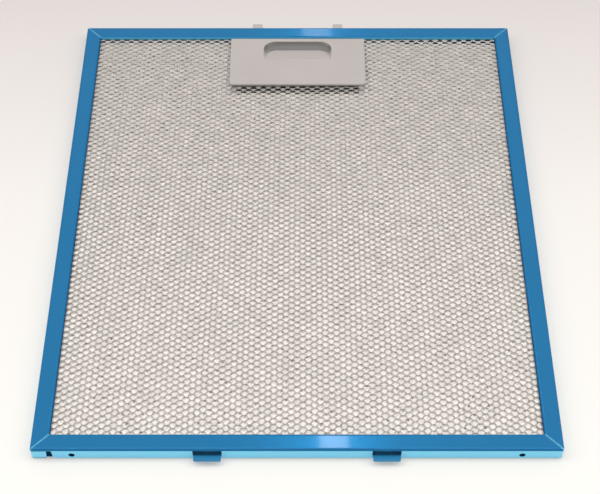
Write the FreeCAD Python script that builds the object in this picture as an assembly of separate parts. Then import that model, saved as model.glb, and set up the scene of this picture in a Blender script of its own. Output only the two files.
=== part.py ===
import FreeCAD, Part
import math
import os

# Cooker hood grease filter. Millimetres, +Z up, origin under the middle of the frame.
# The latch is at +Y and the two hanging tongues are at -Y.

# Frame strip, outside sizes
frame_width = 267.0
frame_length = 305.0
frame_height = 9.0
sheet = 0.7
flange_width = 9.3
lip_depth = 2.0
bend_radius = 1.2
corner_radius = 1.2
cut_over = 1.0
same_place = 0.000001

# Mitre cuts in the flanges, and the joint of the strip at the front left corner
mitre_slit = 0.3
slit_margin = 0.3
joint_tab_length = 7.6
joint_tab_top = 7.3
joint_tab_bottom = 1.3
joint_gap_low = 3.5
joint_gap_high = 2.5

# Two tongues, lanced out of the front wall
tongue_spacing = 90.0
tongue_width = 14.0
tongue_reach = 3.8
tongue_top = 4.4
tongue_corner = 1.0
tongue_bend = 0.3
lance_gap = 0.25
lance_top = frame_height - bend_radius

# Drain holes in the front wall
drain_spacing = 226.0
drain_radius = 1.6
drain_height = 3.8

# Stack of expanded mesh, held between the lips
mesh_edge_clearance = 0.8
mesh_gap = 0.05
guard_thickness = 0.9
layer_count = 5
guard_cell_x = 42.0
guard_cell_y = 25.9
guard_open_ratio = 0.69
layer_cell_x = 42.0
layer_cell_y = 85.0
layer_open_ratio = 0.35
layer_start_ratio = 0.25
layer_shift_ratio = 0.25
mesh_rim = 2.0
spare_rows = 2

# Latch: clearances, travel and the shared cut-out in the mesh
slide_clearance = 0.3
fixed_clearance = 0.4
latch_travel = 6.5
stop_clearance = 0.3

# Latch handle
plate_width = 84.0
plate_length = 40.4
plate_thickness = 1.5
plate_rear_gap = 0.8
plate_front_corner = 2.6
plate_rear_corner = 0.8
plate_edge = 0.4
scoop_width = 42.4
scoop_rear_inset = 2.9
scoop_length = 15.7
scoop_depth = 6.0
scoop_side_slope = 3.6
scoop_rear_round = 6.5
scoop_side_round = 3.0
pocket_wall = 1.5
pocket_floor = 1.0

# Lugs that pass through the rear wall
lug_spacing = 51.0
lug_width = 6.4
lug_thickness = 3.0
lug_bottom = 3.0
lug_reach = 6.2
lug_corner = 1.2
lug_bevel_length = 4.6
lug_bevel_height = 2.0
arm_root_length = 15.0

# Guide ribs of the handle, which run in the grooves of the housing
rib_thickness = 1.5
rail_height = 1.2
rail_depth = 1.2
rail_bottom = 3.3
rail_end_inset = 4.8

# Latch housing
housing_wall = 2.0
housing_half_width = 35.0
housing_floor_top = lip_depth - slide_clearance
housing_floor_thickness = 1.1
housing_front_wall = 1.5
housing_apron = 3.0
housing_apron_front = 5.0
housing_corner = 3.0
housing_front_offset = 2.0
hook_length = 3.6

# Springs
spring_spacing = 24.0
spring_mean_radius = 1.8
spring_wire = 0.5
spring_turns = 6
spring_steps = 8
spring_height = 4.6
spring_seat_gap = 0.05
spring_pin_radius = 1.2
spring_pin_housing = 3.0

# Places that several pieces share
half_width = frame_width / 2
half_length = frame_length / 2
slit_start = sheet + slit_margin
stack_top = frame_height - lip_depth
stack_bottom = lip_depth
rear_lip_face = half_length - flange_width
plate_rear = rear_lip_face - plate_rear_gap
plate_front = plate_rear - plate_length
plate_under = frame_height - plate_thickness
scoop_rear = plate_rear - scoop_rear_inset
scoop_front = scoop_rear - scoop_length
scoop_floor = frame_height - scoop_depth
pocket_half_width = scoop_width / 2 + pocket_wall
pocket_rear = scoop_rear + pocket_wall
pocket_front = scoop_front - pocket_wall
pocket_bottom = scoop_floor - pocket_floor
housing_front = plate_front + housing_front_offset
housing_inner_front = housing_front + housing_front_wall
housing_inner_half = housing_half_width - housing_wall
housing_wall_top = plate_under - slide_clearance
cutout_half_width = housing_half_width + fixed_clearance
cutout_front = housing_front - fixed_clearance
lug_top = lug_bottom + lug_thickness
lug_tip = half_length + lug_reach
rib_outer = housing_inner_half - slide_clearance
rib_front = housing_inner_front + latch_travel + slide_clearance
rib_rear = pocket_rear
rail_front = rib_front + slide_clearance
rail_rear = rib_rear - rail_end_inset
groove_front = rail_front - latch_travel - stop_clearance
groove_rear = rail_rear + stop_clearance

os.makedirs("parts", exist_ok=True)


def at(x, y, z):
    return FreeCAD.Vector(x, y, z)


def on_xy(a, b):
    return at(a, b, 0)


def on_xz(a, b):
    return at(a, 0, b)


def on_yz(a, b):
    return at(0, a, b)


def outline(corners, place):
    """A closed wire through (a, b, radius) corners, each rounded by its own radius."""
    points = [place(a, b) for a, b, _ in corners]
    count = len(points)
    starts = []
    arcs = []
    for i in range(count):
        here = points[i]
        radius = corners[i][2]
        if radius <= 0:
            starts.append((here, here))
            arcs.append(None)
            continue
        back = points[i - 1].sub(here)
        ahead = points[(i + 1) % count].sub(here)
        back.normalize()
        ahead.normalize()
        half = back.getAngle(ahead) / 2
        run = radius / math.tan(half)
        middle = back.add(ahead)
        middle.normalize()
        deep = radius / math.sin(half) - radius
        first = here.add(back.multiply(run))
        last = here.add(ahead.multiply(run))
        crown = here.add(middle.multiply(deep))
        starts.append((first, last))
        arcs.append(Part.Arc(first, crown, last).toShape())
    edges = []
    for i in range(count):
        if arcs[i] is not None:
            edges.append(arcs[i])
        begin = starts[i][1]
        end = starts[(i + 1) % count][0]
        if begin.distanceToPoint(end) > same_place:
            edges.append(Part.LineSegment(begin, end).toShape())
    return Part.Wire(edges)


def prism(corners, place, base, run):
    """The outline as a solid, moved to base and drawn out along run."""
    face = Part.Face(outline(corners, place))
    face.translate(base)
    return face.extrude(run)


def block(x0, x1, y0, y1, z0, z1):
    return Part.makeBox(x1 - x0, y1 - y0, z1 - z0, at(x0, y0, z0))


def both_sides(shape):
    """The shape and its mirror image across the middle plane."""
    return [shape, shape.mirror(at(0, 0, 0), at(1, 0, 0))]


def write(shape, node):
    if shape.ShapeType == "Compound":
        shape = shape.Solids[0]
    shape.exportStep("parts/" + node + ".step")


# Frame: a C channel with turned lips, mitred at the corners
def channel_corners():
    inner = bend_radius - sheet
    lip_inside = flange_width - sheet
    top = frame_height
    return [
        (flange_width, top - lip_depth, 0),
        (flange_width, top, bend_radius),
        (0, top, bend_radius),
        (0, 0, bend_radius),
        (flange_width, 0, bend_radius),
        (flange_width, lip_depth, 0),
        (lip_inside, lip_depth, 0),
        (lip_inside, sheet, inner),
        (sheet, sheet, inner),
        (sheet, top - sheet, inner),
        (lip_inside, top - sheet, inner),
        (lip_inside, top - lip_depth, 0),
    ]


def frame_side(run_length, far):
    """One side of the frame along X, its outer wall at -far, with mitred ends."""
    half = run_length / 2
    bar = prism(channel_corners(), on_yz, at(-half, -far, 0), at(run_length, 0, 0))
    deep = flange_width + cut_over
    plan = [
        (-half, -far, 0),
        (half, -far, 0),
        (half - deep, deep - far, 0),
        (deep - half, deep - far, 0),
    ]
    return bar.common(prism(plan, on_xy, at(0, 0, 0), at(0, 0, frame_height)))


def corner_slit(sx, sy, start, z0, z1):
    """A thin diagonal cut at one corner, from start inwards, between two heights."""
    reach = (flange_width + cut_over - start) * math.sqrt(2)
    cut = Part.makeBox(reach, mitre_slit, z1 - z0, at(0, -mitre_slit / 2, z0))
    angle = math.degrees(math.atan2(-sy, -sx))
    cut.rotate(at(0, 0, 0), at(0, 0, 1), angle)
    cut.translate(at(sx * (half_width - start), sy * (half_length - start), 0))
    return cut


def corner_waste(sx, sy):
    """What is taken off an outer corner to round it."""
    x = sx * (half_width - corner_radius)
    y = sy * (half_length - corner_radius)
    far_x = sx * (half_width + cut_over)
    far_y = sy * (half_length + cut_over)
    waste = block(min(x, far_x), max(x, far_x), min(y, far_y), max(y, far_y), 0, frame_height)
    return waste.cut(Part.makeCylinder(corner_radius, frame_height, at(x, y, 0)))


def lanced_tongue(x):
    """A tongue bent out of the front wall, and the window that it leaves."""
    wall = -half_length
    inside = wall + sheet
    root = tongue_top - sheet - tongue_bend
    side = [
        (inside, root, 0),
        (inside, tongue_top, sheet + tongue_bend),
        (wall - tongue_reach, tongue_top, 0),
        (wall - tongue_reach, tongue_top - sheet, 0),
        (wall, tongue_top - sheet, tongue_bend),
        (wall, root, 0),
    ]
    left = x - tongue_width / 2
    right = x + tongue_width / 2
    tongue = prism(side, on_yz, at(left, 0, 0), at(tongue_width, 0, 0))
    plan = [
        (left, inside, 0),
        (left, wall - tongue_reach, tongue_corner),
        (right, wall - tongue_reach, tongue_corner),
        (right, inside, 0),
    ]
    tongue = tongue.common(prism(plan, on_xy, at(0, 0, 0), at(0, 0, frame_height)))
    window = block(left - lance_gap, right + lance_gap, wall - cut_over, inside + cut_over, root, lance_top)
    return tongue, window


frame = frame_side(frame_width, half_length)
for angle, run_length, far in (
    (90, frame_length, half_width),
    (180, frame_width, half_length),
    (270, frame_length, half_width),
):
    side = frame_side(run_length, far)
    side.rotate(at(0, 0, 0), at(0, 0, 1), angle)
    frame = frame.fuse(side)
frame = frame.removeSplitter()

frame_cuts = []
for sx in (-1, 1):
    for sy in (-1, 1):
        frame_cuts.append(corner_waste(sx, sy))
        frame_cuts.append(corner_slit(sx, sy, slit_start, -cut_over, frame_height + cut_over))

# The strip's joint: a tab round the corner, a gap, and cuts that part the two ends
front_out = -half_length - cut_over
front_in = -half_length + bend_radius
tab_end = joint_tab_length - half_width
slot_top = joint_tab_top + mitre_slit
slot_bottom = joint_tab_bottom - mitre_slit
frame_cuts.append(corner_slit(-1, -1, -cut_over, joint_tab_top, frame_height + cut_over))
frame_cuts.append(corner_slit(-1, -1, -cut_over, -cut_over, joint_tab_bottom))
frame_cuts.append(block(-half_width - cut_over, tab_end, front_out, front_in, joint_tab_top, slot_top))
frame_cuts.append(block(-half_width - cut_over, tab_end, front_out, front_in, slot_bottom, joint_tab_bottom))
joint_middle = tab_end + joint_gap_low / 2
joint_gap = [
    (joint_middle - joint_gap_low / 2, -cut_over, 0),
    (joint_middle + joint_gap_low / 2, -cut_over, 0),
    (joint_middle + joint_gap_high / 2, slot_top, 0),
    (joint_middle - joint_gap_high / 2, slot_top, 0),
]
frame_cuts.append(prism(joint_gap, on_xz, at(0, front_out, 0), at(0, front_in - front_out, 0)))

tongues = []
for x in (-tongue_spacing / 2, tongue_spacing / 2):
    tongue, window = lanced_tongue(x)
    tongues.append(tongue)
    frame_cuts.append(window)

for x in (-drain_spacing / 2, drain_spacing / 2):
    frame_cuts.append(
        Part.makeCylinder(drain_radius, front_in - front_out, at(x, front_out, drain_height), at(0, 1, 0))
    )

lug_left = lug_spacing / 2 - lug_width / 2
lug_right = lug_spacing / 2 + lug_width / 2
lug_window = block(
    lug_left - fixed_clearance,
    lug_right + fixed_clearance,
    half_length - bend_radius,
    half_length + cut_over,
    lug_bottom - fixed_clearance,
    lug_top + fixed_clearance,
)
frame_cuts.extend(both_sides(lug_window))

frame = frame.cut(frame_cuts)
frame = frame.fuse(tongues).removeSplitter()
write(frame, "frame")


# Mesh sheets: one outline with the latch cut-out, pierced by a staggered row of diamonds
def sheet_outline():
    mx = half_width - sheet - mesh_edge_clearance
    my = half_length - sheet - mesh_edge_clearance
    return outline(
        [
            (-mx, -my, 0),
            (mx, -my, 0),
            (mx, my, 0),
            (cutout_half_width, my, 0),
            (cutout_half_width, cutout_front, 0),
            (-cutout_half_width, cutout_front, 0),
            (-cutout_half_width, my, 0),
            (-mx, my, 0),
        ],
        on_xy,
    )


def diamonds(cell_x, cell_y, open_ratio, shift):
    """Wires of the staggered diamonds that lie clear of the frame and of the cut-out.
    shift moves the whole pattern by that share of a cell both ways."""
    a = cell_x * open_ratio / 2
    b = cell_y * open_ratio / 2
    far_x = half_width - flange_width - mesh_rim - a
    far_y = half_length - flange_width - mesh_rim - b
    keep_x = cutout_half_width + mesh_rim + a
    keep_y = cutout_front - mesh_rim - b
    rows = int(2 * far_y / cell_y) + spare_rows
    columns = int(far_x / cell_x) + spare_rows
    wires = []
    for row in range(-rows, rows + 1):
        y = row * cell_y / 2 + shift * cell_y
        stagger = (row % 2) * cell_x / 2
        for column in range(-columns, columns + 1):
            x = column * cell_x + stagger + shift * cell_x
            if abs(x) > far_x or abs(y) > far_y:
                continue
            if abs(x) < keep_x and y > keep_y:
                continue
            wires.append(outline([(x - a, y, 0), (x, y - b, 0), (x + a, y, 0), (x, y + b, 0)], on_xy))
    return wires


def mesh_sheet(cell_x, cell_y, open_ratio, shift, bottom, thickness):
    face = Part.Face([sheet_outline()] + diamonds(cell_x, cell_y, open_ratio, shift))
    face.translate(at(0, 0, bottom))
    return face.extrude(at(0, 0, thickness))


top_bottom = stack_top - mesh_gap - guard_thickness
low_bottom = stack_bottom + mesh_gap
for node, bottom in (("top_mesh", top_bottom), ("bottom_mesh", low_bottom)):
    write(mesh_sheet(guard_cell_x, guard_cell_y, guard_open_ratio, 0, bottom, guard_thickness), node)

# Inner layers: every other one is turned, and each pair of them is moved on
layer_space = top_bottom - low_bottom - guard_thickness
layer_thickness = (layer_space - (layer_count + 1) * mesh_gap) / layer_count
for i in range(layer_count):
    bottom = top_bottom - (i + 1) * (layer_thickness + mesh_gap)
    cell_x, cell_y = layer_cell_x, layer_cell_y
    if i % 2 == 1:
        cell_x, cell_y = layer_cell_y, layer_cell_x
    shift = layer_start_ratio + (i // 2) * layer_shift_ratio
    layer = mesh_sheet(cell_x, cell_y, layer_open_ratio, shift, bottom, layer_thickness)
    write(layer, "filter_layer_" + str(i + 1))


# Latch handle
def span_y(edge):
    ends = [v.Y for v in edge.Vertexes]
    return max(ends) - min(ends)


def span_z(edge):
    ends = [v.Z for v in edge.Vertexes]
    return max(ends) - min(ends)


def scoop_cutter():
    """The finger scoop: a steep rear wall, a ramp that rises forwards, and sloping sides."""
    over = cut_over
    rise = scoop_length / scoop_depth
    flare = scoop_side_slope / scoop_depth
    half = scoop_width / 2
    low_half = half - scoop_side_slope
    high_half = half + over * flare
    front = scoop_front - over * rise
    top = frame_height + over
    a = at(-high_half, front, top)
    b = at(high_half, front, top)
    c = at(high_half, scoop_rear, top)
    d = at(-high_half, scoop_rear, top)
    e = at(-low_half, scoop_rear, scoop_floor)
    f = at(low_half, scoop_rear, scoop_floor)
    faces = []
    for ring in ([a, b, c, d], [a, e, f, b], [d, c, f, e], [a, d, e], [b, f, c]):
        faces.append(Part.Face(Part.makePolygon(ring + ring[:1])))
    cutter = Part.Solid(Part.Shell(faces))
    upright = [edge for edge in cutter.Edges if span_z(edge) > scoop_depth and span_y(edge) < over]
    cutter = cutter.makeFillet(scoop_rear_round, upright)
    long_edges = [edge for edge in cutter.Edges if span_y(edge) > scoop_length / 2]
    slanted = [edge for edge in long_edges if span_z(edge) > scoop_depth / 2]
    return cutter.makeFillet(scoop_side_round, slanted)


plate = prism(
    [
        (-plate_width / 2, plate_front, plate_front_corner),
        (plate_width / 2, plate_front, plate_front_corner),
        (plate_width / 2, plate_rear, plate_rear_corner),
        (-plate_width / 2, plate_rear, plate_rear_corner),
    ],
    on_xy,
    at(0, 0, plate_under),
    at(0, 0, plate_thickness),
)
top_edges = [e for e in plate.Edges if min(v.Z for v in e.Vertexes) > frame_height - plate_edge / 2]
plate = plate.makeChamfer(plate_edge, top_edges)

pocket = block(-pocket_half_width, pocket_half_width, pocket_front, pocket_rear, pocket_bottom, plate_under)

arm_plan = [
    (lug_left, pocket_rear - arm_root_length, 0),
    (lug_right, pocket_rear - arm_root_length, 0),
    (lug_right, lug_tip, lug_corner),
    (lug_left, lug_tip, lug_corner),
]
arm = prism(arm_plan, on_xy, at(0, 0, lug_bottom), at(0, 0, lug_thickness))
bevel = [
    (lug_tip - lug_bevel_length, lug_bottom - cut_over, 0),
    (lug_tip + cut_over, lug_bottom - cut_over, 0),
    (lug_tip + cut_over, lug_bottom + lug_bevel_height * (1 + cut_over / lug_bevel_length), 0),
    (lug_tip - lug_bevel_length, lug_bottom, 0),
]
arm = arm.cut(prism(bevel, on_yz, at(lug_left - cut_over, 0, 0), at(lug_width + 2 * cut_over, 0, 0)))
arm_root = block(lug_left, lug_right, pocket_rear - arm_root_length, pocket_rear, lug_bottom, plate_under)

rib = block(rib_outer - rib_thickness, rib_outer, rib_front, rib_rear, rail_bottom, plate_under)
rail = block(rib_outer, rib_outer + rail_depth, rail_front, rail_rear, rail_bottom, rail_bottom + rail_height)
pin_length = pocket_front - housing_inner_front - latch_travel - spring_pin_housing - slide_clearance
handle_pin = Part.makeCylinder(
    spring_pin_radius,
    pin_length,
    at(spring_spacing / 2, pocket_front - pin_length, spring_height),
    at(0, 1, 0),
)

handle_parts = [pocket]
for piece in (arm, arm_root, rib, rail, handle_pin):
    handle_parts.extend(both_sides(piece))
handle = plate.fuse(handle_parts).cut(scoop_cutter()).removeSplitter()
write(handle, "latch_handle")

# Latch housing
floor_bottom = housing_floor_top - housing_floor_thickness
apron_half = housing_half_width + housing_apron
floor = prism(
    [
        (-apron_half, housing_front - housing_apron_front, housing_corner),
        (apron_half, housing_front - housing_apron_front, housing_corner),
        (apron_half, plate_rear, plate_rear_corner),
        (-apron_half, plate_rear, plate_rear_corner),
    ],
    on_xy,
    at(0, 0, floor_bottom),
    at(0, 0, housing_floor_thickness),
)
front_wall = block(
    -housing_half_width,
    housing_half_width,
    housing_front,
    housing_inner_front,
    housing_floor_top,
    housing_wall_top,
)
side_wall = block(
    housing_inner_half, housing_half_width, housing_front, plate_rear, housing_floor_top, housing_wall_top
)
groove = block(
    housing_inner_half - cut_over,
    housing_inner_half + rail_depth,
    groove_front,
    groove_rear,
    rail_bottom - slide_clearance,
    rail_bottom + rail_height + slide_clearance,
)
side_wall = side_wall.cut(groove)
hook_front = rear_lip_face + sheet + slide_clearance
hook_rear = hook_front + hook_length
neck = block(
    housing_inner_half,
    housing_half_width,
    plate_rear,
    hook_rear,
    stack_bottom + slide_clearance,
    stack_top - slide_clearance,
)
hook = block(
    housing_inner_half,
    housing_half_width,
    hook_front,
    hook_rear,
    sheet + slide_clearance,
    frame_height - sheet - slide_clearance,
)
housing_pin = Part.makeCylinder(
    spring_pin_radius,
    spring_pin_housing,
    at(spring_spacing / 2, housing_inner_front, spring_height),
    at(0, 1, 0),
)
housing_parts = [front_wall]
for piece in (side_wall, neck, hook, housing_pin):
    housing_parts.extend(both_sides(piece))
housing = floor.fuse(housing_parts).removeSplitter()
write(housing, "latch_housing")

# Springs: wire of square section, seated on the pins between housing and handle
def coil_ring(turn):
    """The wire's four corners after so many turns, for a coil that runs along Y."""
    angle = 2 * math.pi * turn
    rise = spring_pitch * turn
    ring = []
    for out, up in ((-1, -1), (1, -1), (1, 1), (-1, 1)):
        reach = spring_mean_radius + out * spring_wire / 2
        ring.append(at(reach * math.cos(angle), rise + up * spring_wire / 2, reach * math.sin(angle)))
    return ring


def facet(*corners):
    return Part.Face(Part.makePolygon(list(corners) + [corners[0]]))


spring_length = pocket_front - housing_inner_front - 2 * spring_seat_gap
spring_pitch = (spring_length - spring_wire) / spring_turns
coil_steps = spring_turns * spring_steps
rings = [coil_ring(step / spring_steps) for step in range(coil_steps + 1)]
facets = [facet(*rings[0]), facet(*rings[-1])]
for near, far in zip(rings, rings[1:]):
    for i in range(len(near)):
        facets.append(facet(near[i - 1], near[i], far[i]))
        facets.append(facet(near[i - 1], far[i], far[i - 1]))
spring = Part.Solid(Part.Shell(facets))
spring_start = housing_inner_front + spring_seat_gap + spring_wire / 2
for node, side in (("latch_spring_left", -1), ("latch_spring_right", 1)):
    placed = spring.copy()
    placed.translate(at(side * spring_spacing / 2, spring_start, spring_height))
    write(placed, node)
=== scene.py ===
import math

import bpy
import numpy as np
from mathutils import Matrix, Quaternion, Vector


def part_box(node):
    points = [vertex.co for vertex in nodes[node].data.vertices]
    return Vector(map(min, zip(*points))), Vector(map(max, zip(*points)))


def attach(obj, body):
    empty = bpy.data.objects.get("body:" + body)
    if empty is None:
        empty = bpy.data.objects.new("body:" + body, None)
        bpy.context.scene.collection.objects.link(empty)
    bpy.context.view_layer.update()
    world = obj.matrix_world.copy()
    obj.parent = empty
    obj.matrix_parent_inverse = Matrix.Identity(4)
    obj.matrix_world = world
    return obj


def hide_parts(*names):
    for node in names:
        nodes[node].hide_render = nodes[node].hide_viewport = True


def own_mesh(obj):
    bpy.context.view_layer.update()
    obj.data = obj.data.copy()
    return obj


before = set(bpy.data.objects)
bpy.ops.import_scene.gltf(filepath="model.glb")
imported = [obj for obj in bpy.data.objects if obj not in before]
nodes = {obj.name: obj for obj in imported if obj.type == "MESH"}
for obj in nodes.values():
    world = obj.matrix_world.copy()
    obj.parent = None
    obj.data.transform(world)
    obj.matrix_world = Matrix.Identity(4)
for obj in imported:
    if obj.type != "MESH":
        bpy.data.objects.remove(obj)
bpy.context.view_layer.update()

scene = bpy.context.scene
MM = 0.001

# Expanded mesh, in millimetres and degrees: the two guards and the layers between them
GUARD = dict(long_way=6.0, short_way=3.70, width=0.82, thickness=0.26, tilt=12, bond=1.05, skew=0.6)
LAYER = dict(long_way=9.6, short_way=5.2, width=2.1, thickness=0.15, tilt=4, bond=0.9, skew=0)
FIELD_X = 125.3
FIELD_Y = 144.3
FIELD_SPARE = 6
CUTOUT_X = 35.4
CUTOUT_Y = 103.6
STACK_TOP = 7.0
STACK_BOTTOM = 2.0
UNEVEN = np.array([0.03, 0.03, 0.035])
RIPPLE_HEIGHT = 0.07
RIPPLE_X = 17
RIPPLE_Y = 23
RIPPLE_DRIFT = 1.3
RIPPLE_DRIFT_Y = 31
LAYER_COUNT = 5
LAYER_TOP = 5.70
LAYER_STEP = 0.48
LAYER_MARGIN = 0.4
LAYER_CUT_X = 43.5
LAYER_CUT_Y = 97.0
LAYER_REAR = 141.0
LAYER_SIDE = 124.6
LAYER_SEED = 40
LAYER_SHIFT = 3
LAYER_LEAN = 1.2

# How ribbons become faces: counts, digits and degrees
SPARE_ROWS = 2
WAVE_STRETCHES = 4
FIRST_STRAND = 1
MERGE_DIGITS = 4
SMOOTH_BELOW = 25

# Springs, in metres and counts
WIRE_RADIUS = 0.00025
COIL_TURNS = 8
COIL_STEPS = 28
COIL_SIDES = 8

# Where the frame's colours, painted light and painted shade begin and end: heights, and distances
# inside the outer edge, in millimetres
HALF_LENGTH = 152.5
BEND_HEIGHT = (7.2, 8.0)
BEND_OUTER = (0.9, 1.4)
BEND_INNER = (7.8, 8.3)
LIP_FOOT = (6.8, 6.9)
LIP_TOP = (8.4, 8.7)
LIP_INNER = (8.3, 8.5)
LIP_MITRE = (-0.4, 0.4)
MITRE_EDGE = (0.60, 0.85)
MITRE_RAGGED = 0.5
TONGUE_EDGE = (-0.8, -0.4)
WALL_DEPTH = (0.2, 0.9)
WALL_FACE = (-0.6, -0.3)
WALL_HEIGHT = (7.6, 8.0)
RECESS_NEAR = (0.7, 1.0)
RECESS_FAR = (7.5, 8.0)
RECESS_FLOOR = (0.3, 0.6)
RECESS_ROOF = (6.6, 7.0)
RECESS_HALF_X = (58, 62)
RECESS_FRONT_Y = (-100, -90)

# The same for the mesh, as coordinates in the part's frame: the painted light and shade towards the
# latch end, and the painted shade in front of the plate
REAR_PAINTED_LIGHT_Y = (0, 130)
SHADE_Y = (95.5, 98.5)
SHADE_HALF_X = (38.5, 42.5)
SHADE_HEIGHT = (3.5, 4.5)
PLATE_SHADE = 0.52

# The finger scoop of the handle, in millimetres
PLATE_TOP = 9.0
SCOOP_FRONT = 123.8
SCOOP_REAR = 139.5
SCOOP_HALF = 21.2
SCOOP_DEPTH = 6.0

# Colours of the frame's coat, and the painted light and shade on parts of it
COAT_DARK = (0.010, 0.240, 0.545)
COAT_LIGHT = (0.013, 0.254, 0.570)
BEND_BLUE = (0.020, 0.205, 0.455)
MITRE_BLUE = (0.25, 0.74, 1.0)
TONGUE_BLUE = (0.03, 0.25, 0.48)
# Painted shade on the side lips, and painted light on the front and rear lips, in the channel behind
# the tongues and on the outer walls
SIDE_LIP_PAINTED_SHADE = (0.006, 0.06, 0.17)
END_LIP_PAINTED_LIGHT = (0.14, 0.55, 0.80)
RECESS_PAINTED_LIGHT = (0.20, 0.72, 1.0)
WALL_PAINTED_REFLECTION = (0.08, 0.505, 0.76)
NOISE_RANGE = (0.3, 0.7)


# Node helpers
def new_material(name):
    material = bpy.data.materials.new(name)
    material.use_nodes = True
    tree = material.node_tree
    shader = tree.nodes["Principled BSDF"]
    return material, tree, shader


def set_values(shader, **values):
    for name, value in values.items():
        shader.inputs[name.replace("_", " ")].default_value = value


def position(tree, kind="Object"):
    """The three coordinates of a point, in metres for a piece of the object."""
    place = tree.nodes.new("ShaderNodeTexCoord")
    parts = tree.nodes.new("ShaderNodeSeparateXYZ")
    tree.links.new(place.outputs[kind], parts.inputs["Vector"])
    return parts.outputs["X"], parts.outputs["Y"], parts.outputs["Z"]


def object_noise(tree, scale, detail, roughness=0.5):
    place = tree.nodes.new("ShaderNodeTexCoord")
    noise = tree.nodes.new("ShaderNodeTexNoise")
    noise.inputs["Scale"].default_value = scale
    noise.inputs["Detail"].default_value = detail
    noise.inputs["Roughness"].default_value = roughness
    tree.links.new(place.outputs["Object"], noise.inputs["Vector"])
    return noise.outputs["Fac"]


def ramp(tree, source, low, high, low_value, high_value):
    node = tree.nodes.new("ShaderNodeMapRange")
    node.inputs["From Min"].default_value = low
    node.inputs["From Max"].default_value = high
    node.inputs["To Min"].default_value = low_value
    node.inputs["To Max"].default_value = high_value
    tree.links.new(source, node.inputs["Value"])
    return node.outputs["Result"]


def rises(tree, source, limits):
    """0 up to the first limit and 1 from the second one on, in millimetres."""
    return ramp(tree, source, limits[0] * MM, limits[1] * MM, 0.0, 1.0)


def falls(tree, source, limits):
    """1 up to the first limit and 0 from the second one on, in millimetres."""
    return ramp(tree, source, limits[0] * MM, limits[1] * MM, 1.0, 0.0)


def maths(tree, operation, first, second=None):
    node = tree.nodes.new("ShaderNodeMath")
    node.operation = operation
    for socket, value in zip(node.inputs, (first, second)):
        if isinstance(value, (int, float)):
            socket.default_value = value
        elif value is not None:
            tree.links.new(value, socket)
    return node.outputs["Value"]


def product(tree, first, *others):
    for other in others:
        first = maths(tree, "MULTIPLY", first, other)
    return first


def largest(tree, first, *others):
    for other in others:
        first = maths(tree, "MAXIMUM", first, other)
    return first


def size_of(tree, source):
    return maths(tree, "ABSOLUTE", source)


def colour_ramp(tree, source, stops):
    node = tree.nodes.new("ShaderNodeValToRGB")
    band = node.color_ramp
    while len(band.elements) < len(stops):
        band.elements.new(0.5)
    for element, (place, colour) in zip(band.elements, stops):
        element.position = place
        element.color = (*colour, 1)
    tree.links.new(source, node.inputs["Fac"])
    return node.outputs["Color"]


def noise_colour(tree, noise, dark, light):
    return colour_ramp(tree, noise, list(zip(NOISE_RANGE, (dark, light))))


def noise_ramp(tree, noise, low_value, high_value):
    return ramp(tree, noise, *NOISE_RANGE, low_value, high_value)


def blend_colour(tree, share, first, second):
    """first where share is 0 and second, a fixed or a linked colour, where it is 1."""
    mix = tree.nodes.new("ShaderNodeMix")
    mix.data_type = "RGBA"
    tree.links.new(share, mix.inputs["Factor"])
    tree.links.new(first, mix.inputs["A"])
    if isinstance(second, tuple):
        mix.inputs["B"].default_value = (*second, 1)
    else:
        tree.links.new(second, mix.inputs["B"])
    return mix.outputs["Result"]


def bump(tree, shader, height, strength, distance):
    node = tree.nodes.new("ShaderNodeBump")
    node.inputs["Strength"].default_value = strength
    node.inputs["Distance"].default_value = distance
    tree.links.new(height, node.inputs["Height"])
    tree.links.new(node.outputs["Normal"], shader.inputs["Normal"])


# The frame's blue coat
def bend_zone(tree, z, nearest):
    """1 on the upper bends and lips, which are duller than the flat faces."""
    outer = falls(tree, nearest, BEND_OUTER)
    inner = rises(tree, nearest, BEND_INNER)
    return product(tree, rises(tree, z, BEND_HEIGHT), largest(tree, outer, inner))


def lip_zone(tree, z, across, along):
    """1 on the faces of the two lips that lie at the inner ends of the distance across: the zone of
    the painted shade on the side lips and of the painted light on the front and rear lips.
    """
    side = rises(tree, maths(tree, "SUBTRACT", along, across), LIP_MITRE)
    low = falls(tree, z, LIP_TOP)
    raised = rises(tree, z, LIP_FOOT)
    return product(tree, low, raised, rises(tree, across, LIP_INNER), side)


def recess_painted_light_zone(tree, x, y, z, nearest):
    """1 inside the channel behind the two tongues, where painted light makes it paler."""
    deep = product(tree, rises(tree, nearest, RECESS_NEAR), falls(tree, nearest, RECESS_FAR))
    high = product(tree, rises(tree, z, RECESS_FLOOR), falls(tree, z, RECESS_ROOF))
    middle = falls(tree, size_of(tree, x), RECESS_HALF_X)
    return product(tree, deep, high, middle, falls(tree, y, RECESS_FRONT_Y))


def wall_zone(tree, z, nearest):
    """1 on the outer walls, without the tongues; the zone of their painted reflection."""
    outer = falls(tree, nearest, WALL_DEPTH)
    return product(tree, outer, rises(tree, nearest, WALL_FACE), falls(tree, z, WALL_HEIGHT))


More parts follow.
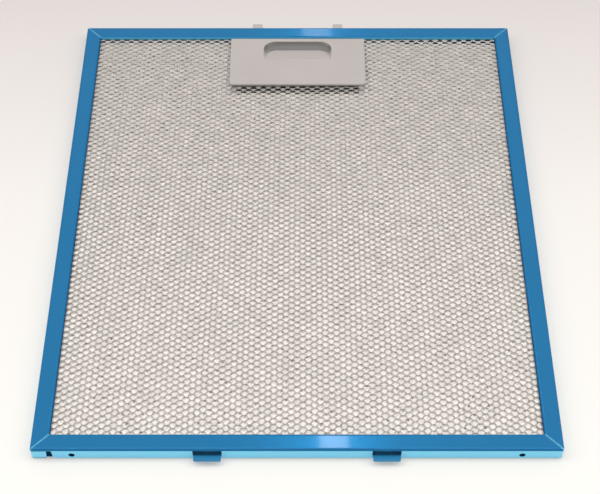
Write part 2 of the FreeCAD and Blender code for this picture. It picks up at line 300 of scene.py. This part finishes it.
def blue_material():
    """Blue coat: worn pale along the mitre cuts, duller on the bends. Painted shade darkens the side
    lips, and painted light pales the front and rear lips, the channel behind the tongues and the outer
    walls, which also mirror the floor.
    """
    material, tree, shader = new_material("blue_coat")
    set_values(shader, Specular_IOR_Level=0.0, Coat_Roughness=0.05)
    x, y, z = position(tree)
    half_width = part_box("frame")[1].x
    from_x = maths(tree, "SUBTRACT", half_width, size_of(tree, x))
    from_y = maths(tree, "SUBTRACT", HALF_LENGTH * MM, size_of(tree, y))
    nearest = maths(tree, "MINIMUM", from_x, from_y)
    off_mitre = size_of(tree, maths(tree, "SUBTRACT", from_x, from_y))
    scratch = object_noise(tree, scale=900, detail=2)
    ragged = product(tree, scratch, MITRE_RAGGED * MM)
    mitre = falls(tree, maths(tree, "ADD", off_mitre, ragged), MITRE_EDGE)
    bend = bend_zone(tree, z, nearest)
    tongue = falls(tree, nearest, TONGUE_EDGE)
    wall = wall_zone(tree, z, nearest)
    stain = object_noise(tree, scale=14, detail=2)
    colour = noise_colour(tree, stain, COAT_DARK, COAT_LIGHT)
    for zone, shade in (
        (bend, BEND_BLUE),
        (mitre, MITRE_BLUE),
        (tongue, TONGUE_BLUE),
        # Painted shade on the side lips
        (lip_zone(tree, z, from_x, from_y), SIDE_LIP_PAINTED_SHADE),
        # Painted light on the front and rear lips
        (lip_zone(tree, z, from_y, from_x), END_LIP_PAINTED_LIGHT),
        # Painted light in the channel behind the tongues
        (recess_painted_light_zone(tree, x, y, z, nearest), RECESS_PAINTED_LIGHT),
        # Painted reflection on the outer walls, on top of the floor that they mirror
        (wall, WALL_PAINTED_REFLECTION),
    ):
        colour = blend_colour(tree, zone, colour, shade)
    tree.links.new(colour, shader.inputs["Base Color"])
    metallic = ramp(tree, wall, 0.0, 1.0, low_value=0.5, high_value=1.0)
    tree.links.new(metallic, shader.inputs["Metallic"])
    gloss = ramp(tree, bend, 0.0, 1.0, low_value=1.0, high_value=0.15)
    tree.links.new(gloss, shader.inputs["Coat Weight"])
    scuff = object_noise(tree, scale=45, detail=3, roughness=0.6)
    smooth = noise_ramp(tree, scuff, low_value=0.15, high_value=0.19)
    extra_roughness = 0.42
    duller = product(tree, largest(tree, bend, tongue, mitre), extra_roughness)
    tree.links.new(maths(tree, "ADD", smooth, duller), shader.inputs["Roughness"])
    wave = object_noise(tree, scale=9, detail=1)
    bump(tree, shader, wave, strength=0.25, distance=0.0006)
    return material


# Metal of the mesh and the springs
def plate_shade_zone(tree, x, y, z):
    """1 on the upper mesh close in front of the latch plate, which the photo shows in its shade."""
    across = falls(tree, size_of(tree, x), SHADE_HALF_X)
    return product(tree, rises(tree, y, SHADE_Y), across, rises(tree, z, SHADE_HEIGHT))


def aluminium_material(name, dark, light, roughness, rear):
    """Stretched aluminium, a little chalky; at the latch end its colours are rear times as bright, as
    painted light and shade that stand in for the highlights fading there.
    """
    material, tree, shader = new_material(name)
    set_values(shader, Metallic=0.8)
    x, y, z = position(tree)
    tone = object_noise(tree, scale=220, detail=1)
    front_colour = noise_colour(tree, tone, dark, light)
    painted_rear_dark, painted_rear_light = (tuple(rear * c for c in colour) for colour in (dark, light))
    painted_rear_colour = noise_colour(tree, tone, painted_rear_dark, painted_rear_light)
    # Painted light and shade towards the latch end
    colour = blend_colour(tree, rises(tree, y, REAR_PAINTED_LIGHT_Y), front_colour, painted_rear_colour)
    shaded = tuple(PLATE_SHADE * (d + c) / 2 for d, c in zip(dark, light))
    colour = blend_colour(tree, plate_shade_zone(tree, x, y, z), colour, shaded)
    tree.links.new(colour, shader.inputs["Base Color"])
    grain = object_noise(tree, scale=900, detail=2)
    tree.links.new(noise_ramp(tree, grain, *roughness), shader.inputs["Roughness"])
    return material


def steel_material():
    material, tree, shader = new_material("spring_wire")
    set_values(shader, Metallic=1.0)
    tone = object_noise(tree, scale=400, detail=2)
    colour = noise_colour(tree, tone, dark=(0.42, 0.42, 0.43), light=(0.58, 0.58, 0.59))
    tree.links.new(colour, shader.inputs["Base Color"])
    roughness = noise_ramp(tree, tone, low_value=0.22, high_value=0.36)
    tree.links.new(roughness, shader.inputs["Roughness"])
    return material


# Plastic of the latch
def scoop_painted_light_zones(tree):
    """Where the finger scoop's painted light and shade go, as three shares: 1 on the walls of the
    finger scoop, 1 on its ramp and its walls, and 1 in the two ends of the walls. The last result is
    the height above the ramp, in metres."""
    rim = (PLATE_TOP - 0.1, PLATE_TOP - 0.05)
    flanks = (SCOOP_HALF, SCOOP_HALF + 0.2)
    back = (SCOOP_REAR + 0.1, SCOOP_REAR + 0.3)
    ramp_start = (SCOOP_FRONT, SCOOP_FRONT + 3)
    wall_foot = (0.05, 0.3)
    wall_front, wall_rear, front_share = SCOOP_FRONT + 4, SCOOP_REAR - 3, 0.2
    end_inner, end_outer, end_share = SCOOP_HALF - 2.8, SCOOP_HALF - 0.6, 0.75
    end_begins = (SCOOP_REAR - 9.0, SCOOP_REAR - 6.0)
    end_stops = (SCOOP_REAR - 3.5, SCOOP_REAR - 1.0)

    x, y, z = position(tree)
    half = size_of(tree, x)
    fall = SCOOP_DEPTH / (SCOOP_REAR - SCOOP_FRONT)
    drop = product(tree, maths(tree, "SUBTRACT", y, SCOOP_FRONT * MM), fall)
    above = maths(tree, "SUBTRACT", z, maths(tree, "SUBTRACT", PLATE_TOP * MM, drop))
    sunk = product(tree, falls(tree, z, rim), falls(tree, half, flanks), falls(tree, y, back))
    rear = ramp(tree, y, wall_front * MM, wall_rear * MM, front_share, 1.0)
    wall = product(tree, rises(tree, above, wall_foot), sunk, rear)
    end = ramp(tree, half, end_inner * MM, end_outer * MM, 0.0, end_share)
    corner = product(tree, end, wall, rises(tree, y, end_begins), falls(tree, y, end_stops))
    return wall, product(tree, sunk, rises(tree, y, ramp_start)), corner, above


def plastic_material(name, dark, light, scoop=None):
    """Grained plastic; scoop gives the painted light and shade of the finger scoop where the piece has
    one: a lighter ramp, and a darker wall that lightens upwards and is darkest at its two ends.
    """
    material, tree, shader = new_material(name)
    tone = object_noise(tree, scale=45, detail=3)
    colour = noise_colour(tree, tone, dark, light)
    if scoop:
        wall, sunk, corner, above = scoop_painted_light_zones(tree)
        up = rises(tree, above, (0, SCOOP_DEPTH))
        painted_wall_shade = colour_ramp(tree, up, [(0.0, scoop["painted_foot_shade"]), (1.0, scoop["top"])])
        # Painted light on the ramp, and painted shade on the wall, darker still at its two ends
        colour = blend_colour(tree, sunk, colour, scoop["ramp"])
        colour = blend_colour(tree, wall, colour, painted_wall_shade)
        colour = blend_colour(tree, corner, colour, scoop["corner"])
    tree.links.new(colour, shader.inputs["Base Color"])
    grain = object_noise(tree, scale=2600, detail=2)
    roughness = noise_ramp(tree, grain, low_value=0.46, high_value=0.58)
    tree.links.new(roughness, shader.inputs["Roughness"])
    bump(tree, shader, grain, strength=0.25, distance=0.00008)
    return material


blue = blue_material()
# The rear factors paint the latch end: darker bonds and lighter strands, standing in for the
# highlights fading there
bond_metal = aluminium_material(
    "bond_aluminium",
    dark=(0.70, 0.665, 0.630),
    light=(0.85, 0.808, 0.766),
    roughness=(0.58, 0.64),
    rear=0.785,
)
# Strands: a darker copy of the bond aluminium, painted shade standing in for the shade on their
# sloping faces
shaded_strand_metal = aluminium_material(
    "strand_aluminium_painted_shade",
    dark=(0.53, 0.504, 0.477),
    light=(0.57, 0.542, 0.513),
    roughness=(0.66, 0.72),
    rear=1.26,
)
layer_metal = aluminium_material(
    "layer_aluminium",
    dark=(0.89, 0.84, 0.795),
    light=(0.94, 0.89, 0.85),
    roughness=(0.50, 0.62),
    rear=1.0,
)
plastic = plastic_material(
    "grey_plastic",
    dark=(0.537, 0.491, 0.467),
    light=(0.556, 0.510, 0.486),
    # Painted light and shade of the finger scoop
    scoop=dict(
        ramp=(0.585, 0.535, 0.512),
        painted_foot_shade=(0.19, 0.187, 0.18),
        top=(0.345, 0.338, 0.325),
        corner=(0.10, 0.098, 0.094),
    ),
)
# The housing's dark grey is partly painted shade: it stands in for the shade under the plate, seen
# through the mesh in front of it
dark_plastic = plastic_material(
    "dark_plastic", dark=(0.150, 0.144, 0.137), light=(0.170, 0.163, 0.155)
)
steel = steel_material()


def dress(obj, material):
    obj.data.materials.clear()
    obj.data.materials.append(material)


dress(nodes["frame"], blue)
dress(nodes["latch_handle"], plastic)
dress(nodes["latch_housing"], dark_plastic)


# Expanded mesh: wavy ribbons, each joined to its two neighbours in turn
def row_slant(x):
    """How far a row of the mesh runs off square, in millimetres."""
    start, end, slope = -70.0, 0.0, 0.0225
    t = np.clip((x - start) / (end - start), 0, 1)
    inside = slope * (end - start) * (t**3 - t**4 / 2)
    return inside + slope * np.maximum(x - end, 0)


def ribbons(long_way, short_way, width, thickness, tilt, bond, skew, half_long, half_cross):
    """Rings of four corners along wavy ribbons that run along u and step along v, around the origin.
    Each bond is wider at its upper edge than at its lower one by skew at either end. The second result
    says on which side each stretch is joined: 1 to the next ribbon, -1 to the one before."""
    pitch = short_way / 2
    rows = int(half_cross / pitch) + SPARE_ROWS
    steps = int(half_long / long_way) + SPARE_ROWS
    rise = math.sin(math.radians(tilt))
    flat = math.cos(math.radians(tilt))
    swing = (pitch - width * flat) / 2
    drop = width * rise / 2
    period = np.arange(-steps, steps + 1) * long_way
    offsets = np.array([-bond, bond, long_way / 2 - bond, long_way / 2 + bond])
    run = (period[:, None] + offsets[None, :]).ravel()
    sign = np.tile([1.0, 1.0, -1.0, -1.0], len(period))
    joined = np.tile([1, 0, -1, 0], len(period))[:-1]
    outward = np.tile([-1.0, 1.0, 1.0, -1.0], len(period)) * sign
    j = np.arange(-rows, rows + 1)
    u = run[None, :] + (j % 2)[:, None] * long_way / 2
    v = (j * pitch)[:, None] + swing * sign[None, :]
    w = np.broadcast_to(-drop * sign[None, :], v.shape)
    corners = []
    for across, up in ((-1, 1), (1, 1), (1, -1), (-1, -1)):
        dv = across * width / 2 * flat - up * thickness / 2 * rise
        dw = across * width / 2 * rise + up * thickness / 2 * flat
        du = np.where(sign == across, 0.0, across * skew * outward)
        corners.append(np.stack([u + du[None, :], v + dv, w + dw], axis=-1))
    return np.stack(corners, axis=2), np.broadcast_to(joined, (len(j), len(joined)))


def ribbon_faces(wanted, joined, shape, tone):
    """Quads of the wanted stretches and the tone of each: the four sides of a ribbon, without the
    walls where two ribbons are joined, and a cap on each cut end."""
    rows, length, ring = shape
    index = np.arange(rows * length * ring).reshape(shape)
    row, stretch = np.indices(wanted.shape)
    odd = (row - rows // 2) % 2 == 1
    half_wave = WAVE_STRETCHES // 2
    mate_row = np.clip(row + joined, 0, rows - 1)
    mate_stretch = np.clip(stretch + np.where(odd, half_wave, -half_wave), 0, length - 2)
    mated = wanted[mate_row, mate_stretch]
    next_side, last_side = 1, 3
    faces, tones = [], []
    for a in range(ring):
        b = (a + 1) % ring
        inside = mated & (((joined == 1) & (a == next_side)) | ((joined == -1) & (a == last_side)))
        shown = wanted & ~inside
        quad = np.stack(
            [index[:, :-1, a], index[:, 1:, a], index[:, 1:, b], index[:, :-1, b]], axis=-1
        )
        # The two twisted strands of a wave are split into triangles as mirror images
        first_strands = quad[:, FIRST_STRAND::WAVE_STRETCHES]
        quad[:, FIRST_STRAND::WAVE_STRETCHES] = np.roll(first_strands, 1, axis=-1)
        faces.append(quad[shown])
        tones.append(tone[shown])
    edge = np.zeros((rows, 1), dtype=bool)
    starts = wanted & ~np.hstack([edge, wanted[:, :-1]])
    ends = wanted & ~np.hstack([wanted[:, 1:], edge])
    for caps, rings in ((starts, index[:, :-1]), (ends, index[:, 1:, ::-1])):
        faces.append(rings[caps])
        tones.append(tone[caps])
    return np.concatenate(faces), np.concatenate(tones)


def mesh_piece(name, sheet, keep, place, mirrored, materials):
    """A Blender mesh of the ribbons' stretches that keep() wants. mirrored says that place() turns
    the sheet inside out. The first material is for the joined stretches and the last one for the
    strands between them."""
    grid, joined = sheet
    wanted = keep((grid[:, :-1].mean(axis=2) + grid[:, 1:].mean(axis=2)) / 2)
    tone = np.where(joined == 0, len(materials) - 1, 0)
    faces, tones = ribbon_faces(wanted, joined, grid.shape[:3], tone)
    used, packed = np.unique(faces, return_inverse=True)
    corners = np.round(grid.reshape(-1, 3)[used], MERGE_DIGITS)
    spots, merged = np.unique(corners, axis=0, return_inverse=True)
    packed = merged.ravel()[packed.ravel()].reshape(faces.shape)
    if mirrored:
        packed = packed[:, [0, 3, 2, 1]]
    points = place(spots) * MM
    mesh = bpy.data.meshes.new(name)
    mesh.vertices.add(len(points))
    mesh.vertices.foreach_set("co", points.astype(np.float32).ravel())
    mesh.loops.add(packed.size)
    mesh.loops.foreach_set("vertex_index", packed.astype(np.int32).ravel())
    mesh.polygons.add(len(packed))
    starts = np.arange(0, packed.size, packed.shape[1], dtype=np.int32)
    mesh.polygons.foreach_set("loop_start", starts)
    mesh.update(calc_edges=True)
    mesh.polygons.foreach_set("material_index", tones.astype(np.int32))
    mesh.polygons.foreach_set("use_smooth", [True] * len(packed))
    mesh.set_sharp_from_angle(angle=math.radians(SMOOTH_BELOW))
    obj = bpy.data.objects.new(name, mesh)
    scene.collection.objects.link(obj)
    for material in materials:
        mesh.materials.append(material)
    return obj


def in_field(x, y, margin=0.0):
    inside = (np.abs(x) < FIELD_X - margin) & (np.abs(y) < FIELD_Y - margin)
    notch = (np.abs(x) < CUTOUT_X + margin) & (y > CUTOUT_Y - margin)
    return inside & ~notch


def guard(name, node, top, seed):
    sheet = ribbons(**GUARD, half_long=FIELD_X, half_cross=FIELD_Y + FIELD_SPARE)
    tilt = math.radians(GUARD["tilt"])
    high = GUARD["width"] * math.sin(tilt) + GUARD["thickness"] / 2 * math.cos(tilt)
    level = STACK_TOP - high if top else STACK_BOTTOM + high
    side = 1 if top else -1
    generator = np.random.default_rng(seed)

    def place(p):
        x, y, z = p[:, 0], p[:, 1] + row_slant(p[:, 0]), p[:, 2]
        phase = x / RIPPLE_X + RIPPLE_DRIFT * np.sin(y / RIPPLE_DRIFT_Y)
        ripple = RIPPLE_HEIGHT * np.sin(phase) * np.cos(y / RIPPLE_Y)
        uneven = generator.normal(0, 1, (3, len(x))) * UNEVEN[:, None]
        return np.stack([x, y, level + side * z + ripple], axis=-1) + uneven.T

    def keep(p):
        return in_field(p[..., 0], p[..., 1] + row_slant(p[..., 0]))

    piece = mesh_piece(name, sheet, keep, place, not top, (bond_metal, shaded_strand_metal))
    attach(piece, "filter")
    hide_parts(node)


def inner_layer(number, level, turned):
    reach = FIELD_Y + FIELD_SPARE
    sheet = ribbons(**LAYER, half_long=reach, half_cross=reach)
    generator = np.random.default_rng(LAYER_SEED + number)
    shift = generator.uniform(-LAYER_SHIFT, LAYER_SHIFT, 2)
    lean = math.radians(generator.uniform(-LAYER_LEAN, LAYER_LEAN))

    def turn(u, v):
        a, b = (v, u) if turned else (u, v)
        x = a * math.cos(lean) - b * math.sin(lean) + shift[0]
        y = a * math.sin(lean) + b * math.cos(lean) + shift[1]
        return x, y

    def place(p):
        x, y = turn(p[:, 0], p[:, 1])
        return np.stack([x, y, level + p[:, 2]], axis=-1)

    def keep(p):
        x, y = turn(p[..., 0], p[..., 1])
        by_latch = (np.abs(x) < LAYER_CUT_X) & (y > LAYER_CUT_Y)
        in_stack = (np.abs(x) < LAYER_SIDE) & (y < LAYER_REAR) & ~by_latch
        return in_field(x, y, LAYER_MARGIN) & in_stack

    name = f"filter_layer_{number}_expanded"
    piece = mesh_piece(name, sheet, keep, place, turned, (layer_metal,))
    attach(piece, "filter")
    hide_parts(f"filter_layer_{number}")


guard("top_mesh_expanded", "top_mesh", top=True, seed=7)
guard("bottom_mesh_expanded", "bottom_mesh", top=False, seed=8)
for number in range(1, LAYER_COUNT + 1):
    inner_layer(number, LAYER_TOP - LAYER_STEP * (number - 1), turned=number % 2 == 1)


# Springs: round wire coils in place of the two spring parts; the real springs are squeezed against the
# housing as the handle moves
def spring(node):
    low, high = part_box(node)
    centre = (low + high) / 2
    wire = WIRE_RADIUS
    radius = (high.x - low.x) / 2 - wire
    length = high.y - low.y - 2 * wire
    points, faces = [], []
    count = COIL_TURNS * COIL_STEPS
    around = COIL_SIDES
    for i in range(count + 1):
        angle = 2 * math.pi * i / COIL_STEPS
        out = Vector((math.cos(angle), 0, math.sin(angle)))
        spot = centre + out * radius
        spot.y = low.y + wire + length * i / count
        for k in range(around):
            a = 2 * math.pi * k / around
            points.append(spot + out * (wire * math.cos(a)) + Vector((0, wire * math.sin(a), 0)))
    for i in range(count):
        ring, following = i * around, (i + 1) * around
        for k in range(around):
            n = (k + 1) % around
            faces.append((ring + k, ring + n, following + n, following + k))
    faces.append(tuple(reversed(range(around))))
    faces.append(tuple(range(count * around, count * around + around)))
    mesh = bpy.data.meshes.new(node + "_coil")
    mesh.from_pydata(points, [], faces)
    mesh.polygons.foreach_set("use_smooth", [True] * len(mesh.polygons))
    mesh.materials.append(steel)
    coil = bpy.data.objects.new(node + "_coil", mesh)
    scene.collection.objects.link(coil)
    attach(coil, "filter")
    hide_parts(node)
    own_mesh(coil)


spring("latch_spring_left")
spring("latch_spring_right")


# Stage: floor, light and camera
def floor():
    """Pale floor, painted darker towards the back to stand in for the light falling off there. It
    glows a little for the camera and in reflections.
    """
    reach = 6.0
    depth = -0.0002
    front_y, back_y = -0.25, 0.45
    lit_share = 0.72
    glow_seen = 0.34
    glow_mirrored = 0.50
    stops = [
        (0.0, (0.99, 0.975, 0.925)),
        (0.38, (0.89, 0.848, 0.808)),
        (0.62, (0.735, 0.68, 0.66)),
        (1.0, (0.71, 0.66, 0.64)),
    ]

    mesh = bpy.data.meshes.new("floor")
    corners = [(-reach, -reach), (reach, -reach), (reach, reach), (-reach, reach)]
    mesh.from_pydata([(x, y, depth) for x, y in corners], [], [(0, 1, 2, 3)])
    material, tree, shader = new_material("floor_white")
    set_values(shader, Roughness=0.7)
    back = ramp(tree, position(tree)[1], front_y, back_y, 0.0, 1.0)
    dim = [(p, tuple(lit_share * c for c in colour)) for p, colour in stops]
    tree.links.new(colour_ramp(tree, back, dim), shader.inputs["Base Color"])
    tree.links.new(colour_ramp(tree, back, stops), shader.inputs["Emission Color"])
    ray = tree.nodes.new("ShaderNodeLightPath")
    seen = product(tree, ray.outputs["Is Camera Ray"], glow_seen)
    bounced = maths(tree, "ADD", ray.outputs["Is Glossy Ray"], ray.outputs["Is Transmission Ray"])
    mirrored = product(tree, bounced, glow_mirrored)
    tree.links.new(maths(tree, "ADD", seen, mirrored), shader.inputs["Emission Strength"])
    mesh.materials.append(material)
    obj = bpy.data.objects.new("floor", mesh)
    scene.collection.objects.link(obj)


def area_light(name, place, target, size, power, roll=0.0):
    light = bpy.data.lights.new(name, "AREA")
    light.shape = "RECTANGLE"
    light.size, light.size_y = size
    light.energy = power
    obj = bpy.data.objects.new(name, light)
    obj.location = place
    aim = (Vector(target) - Vector(place)).to_track_quat("-Z", "Y")
    obj.rotation_euler = (aim @ Quaternion((0, 0, 1), math.radians(roll))).to_euler()
    scene.collection.objects.link(obj)


def studio():
    """Soft light from all round, dimmer at the front."""
    front_y, back_y = -0.6, 0.2
    front_level, back_level = 0.34, 0.45
    tint = (1.0, 0.985, 0.965)
    world = bpy.data.worlds.new("studio")
    world.use_nodes = True
    tree = world.node_tree
    share = ramp(tree, position(tree, "Generated")[1], front_y, back_y, 0.0, 1.0)
    stops = [(0.0, front_level), (1.0, back_level)]
    dome = colour_ramp(tree, share, [(p, tuple(level * c for c in tint)) for p, level in stops])
    tree.links.new(dome, tree.nodes["Background"].inputs["Color"])
    scene.world = world


def view():
    """The camera at the photo's viewing angle."""
    down = 52.12
    data = bpy.data.cameras.new("camera")
    data.lens = 81.6
    data.sensor_width = 36
    data.clip_start = 0.01
    camera = bpy.data.objects.new("camera", data)
    camera.location = (0.0015, -0.4887, 0.6058)
    camera.rotation_euler = (math.radians(90 - down), 0, 0)
    scene.collection.objects.link(camera)
    scene.camera = camera
    scene.view_settings.view_transform = "Standard"


floor()
area_light(
    "overhead",
    place=(-0.06, -0.10, 1.30),
    target=(-0.06, -0.10, 0),
    size=(4.4, 0.7),
    power=23.2,
)
# Two strips that the coat mirrors as the highlights on the rear and front flanges
area_light(
    "strip_high",
    place=(0.0572, 0.8073, 1.4688),
    target=(0.0227, -0.2327, 0.1888),
    size=(0.050, 0.60),
    power=0.484,
    roll=3.9,
)
area_light(
    "strip_low",
    place=(0.0318, 1.2727, 1.0912),
    target=(-0.0027, 0.2327, -0.1888),
    size=(0.050, 0.60),
    power=0.197,
    roll=3.9,
)
studio()
view()
